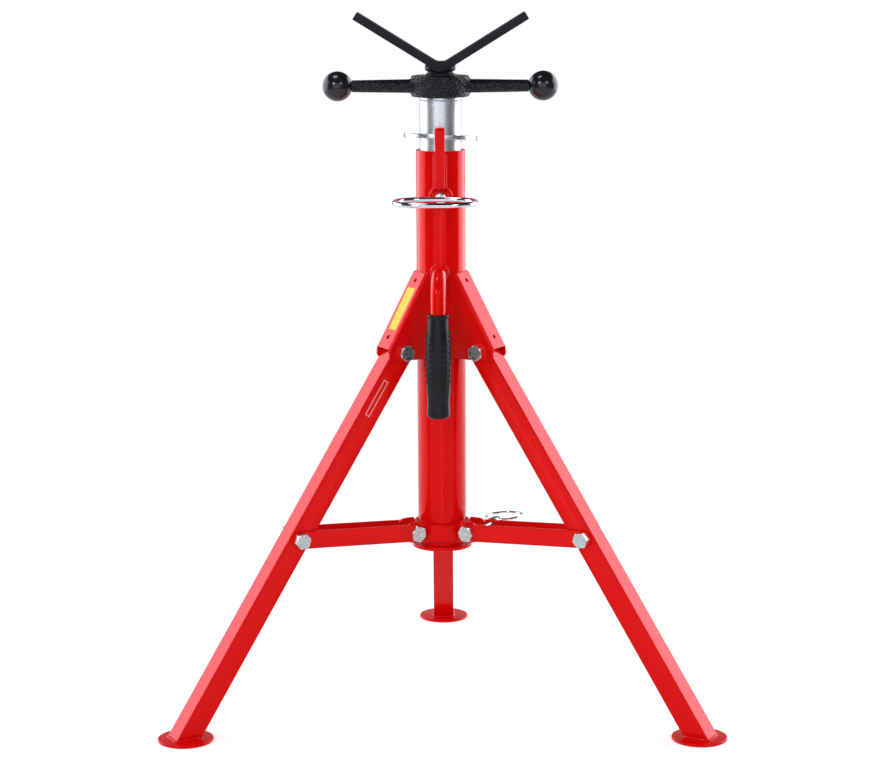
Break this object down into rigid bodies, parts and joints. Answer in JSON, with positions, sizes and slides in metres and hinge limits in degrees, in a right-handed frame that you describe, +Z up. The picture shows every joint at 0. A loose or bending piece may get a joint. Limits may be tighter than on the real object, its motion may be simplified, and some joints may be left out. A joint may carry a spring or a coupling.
{
  "type": "pipe jack stand",
  "caption": "Folding tripod stand with a V-shaped head for holding pipe, raised by a sliding inner tube, a clamp and a T-handle screw jack",
  "frame": {"origin": "on the floor, in the middle of the part's outline seen from above", "axes": "+Z up along the mast, -Y the side with the clamp ring and the carry handle, +Y the single rear leg, X across the V"},
  "size_m": [0.6494, 0.5708, 0.815],
  "materials": {
    "red_paint": "glossy red powder coat",
    "zinc": "zinc-plated",
    "chrome": "polished",
    "hammered_black": "black hammered paint",
    "satin_black": "satin black powder coat",
    "gloss_black": "glossy",
    "rubber": "matt"
  },
  "bodies": {
    "frame": {"outer_tube": "red_paint", "bottom_ring": "red_paint", "lock_bar": "red_paint", "clamp_nut": "red_paint", "carry_handle_rod": "red_paint", "carry_handle_grip": "rubber", "leg_bracket_left": "red_paint", "pivot_bolt_left": "zinc", "pivot_nut_left": "zinc", "leg_bracket_right": "red_paint", "pivot_bolt_right": "zinc", "pivot_nut_right": "zinc", "leg_bracket_rear": "red_paint", "pivot_bolt_rear": "zinc", "pivot_nut_rear": "zinc"},
    "collar": {"sliding_collar": "red_paint", "collar_bolt_left": "zinc", "collar_nut_left": "zinc", "collar_bolt_right": "zinc", "collar_nut_right": "zinc", "collar_bolt_rear": "zinc", "collar_nut_rear": "zinc"},
    "brace_left_body": {"brace_left": "red_paint"},
    "leg_left_body": {"leg_left": "red_paint", "foot_left": "red_paint", "brace_bolt_left": "zinc", "brace_nut_left": "zinc"},
    "brace_right_body": {"brace_right": "red_paint"},
    "leg_right_body": {"leg_right": "red_paint", "foot_right": "red_paint", "brace_bolt_right": "zinc", "brace_nut_right": "zinc"},
    "brace_rear_body": {"brace_rear": "red_paint"},
    "leg_rear_body": {"leg_rear": "red_paint", "foot_rear": "red_paint", "brace_bolt_rear": "zinc", "brace_nut_rear": "zinc"},
    "lock_pin_body": {"lock_pin": "zinc"},
    "lock_pin_ring_body": {"lock_pin_ring": "chrome"},
    "mast": {"inner_tube": "zinc", "thrust_bush": "zinc"},
    "t_handle": {"t_handle_hub": "hammered_black", "handle_ball_left": "gloss_black", "handle_ball_right": "gloss_black"},
    "screw": {"lift_screw": "zinc"},
    "v_head": {"v_cradle": "satin_black", "v_socket": "satin_black"},
    "lock_plate_body": {"lock_plate": "zinc"},
    "clamp": {"clamp_screw": "zinc", "clamp_ring": "chrome"}
  },
  "joints": [
    {"name": "collar_slide", "type": "slide", "parent": "frame", "child": "collar", "axis": [0, 0, 1], "range_m": [0, 0.1159]},
    {"name": "brace_fold_left", "type": "hinge", "parent": "collar", "child": "brace_left_body", "pos_m": [-0.03773, -0.10635, 0.2081], "axis": [0.5, -0.866, 0], "range_deg": [0, 76.64]},
    {"name": "leg_fold_left", "type": "hinge", "parent": "frame", "child": "leg_left_body", "pos_m": [-0.04941, -0.11309, 0.4253], "axis": [0.5, -0.866, 0], "range_deg": [0, 26.39]},
    {"name": "brace_fold_right", "type": "hinge", "parent": "collar", "child": "brace_right_body", "pos_m": [0.03773, -0.10635, 0.2081], "axis": [0.5, 0.866, 0], "range_deg": [0, 76.64]},
    {"name": "leg_fold_right", "type": "hinge", "parent": "frame", "child": "leg_right_body", "pos_m": [0.04941, -0.11309, 0.4253], "axis": [0.5, 0.866, 0], "range_deg": [0, 26.39]},
    {"name": "brace_fold_rear", "type": "hinge", "parent": "collar", "child": "brace_rear_body", "pos_m": [0, -0.041, 0.2081], "axis": [-1, 0, 0], "range_deg": [0, 76.64]},
    {"name": "leg_fold_rear", "type": "hinge", "parent": "frame", "child": "leg_rear_body", "pos_m": [0, -0.02752, 0.4253], "axis": [-1, 0, 0], "range_deg": [0, 26.39]},
    {"name": "lock_pin_pull", "type": "slide", "parent": "brace_right_body", "child": "lock_pin_body", "axis": [0.5, 0.866, 0], "range_m": [0, 0.04]},
    {"name": "lock_pin_ring_swing", "type": "hinge", "parent": "lock_pin_body", "child": "lock_pin_ring_body", "pos_m": [0.06403, -0.09302, 0.21837], "axis": [0.8638, -0.4987, 0.071], "range_deg": [0, 100]},
    {"name": "mast_slide", "type": "slide", "parent": "frame", "child": "mast", "axis": [0, 0, 1], "range_m": [-0.03, 0.36]},
    {"name": "t_handle_turn", "type": "hinge", "parent": "mast", "child": "t_handle", "pos_m": [0, -0.08457, 0.7308], "axis": [0, 0, 1], "range_deg": [-6600, 0]},
    {"name": "screw_lift", "type": "slide", "parent": "mast", "child": "screw", "axis": [0, 0, 1], "range_m": [0, 0.1101]},
    {"name": "v_head_swivel", "type": "hinge", "parent": "screw", "child": "v_head", "pos_m": [0, -0.08457, 0.7594], "axis": [0, 0, 1], "continuous": true},
    {"name": "lock_plate_tilt", "type": "hinge", "parent": "frame", "child": "lock_plate_body", "pos_m": [0, -0.12657, 0.6755], "axis": [0.8572, -0.515, 0], "range_deg": [0, 5.25]},
    {"name": "clamp_screw_turn", "type": "hinge", "parent": "frame", "child": "clamp", "pos_m": [0, -0.08457, 0.6054], "axis": [0, -1, 0], "range_deg": [-720, 180]}
  ],
  "couplings": [
    {"joint": "brace_fold_left", "follows": "collar_slide", "rad_per_m": 11.54},
    {"joint": "leg_fold_left", "follows": "collar_slide", "rad_per_m": 3.9737},
    {"joint": "brace_fold_right", "follows": "collar_slide", "rad_per_m": 11.54},
    {"joint": "leg_fold_right", "follows": "collar_slide", "rad_per_m": 3.9737},
    {"joint": "brace_fold_rear", "follows": "collar_slide", "rad_per_m": 11.54},
    {"joint": "leg_fold_rear", "follows": "collar_slide", "rad_per_m": 3.9737},
    {"joint": "screw_lift", "follows": "t_handle_turn", "m_per_rad": -0.00095493}
  ]
}
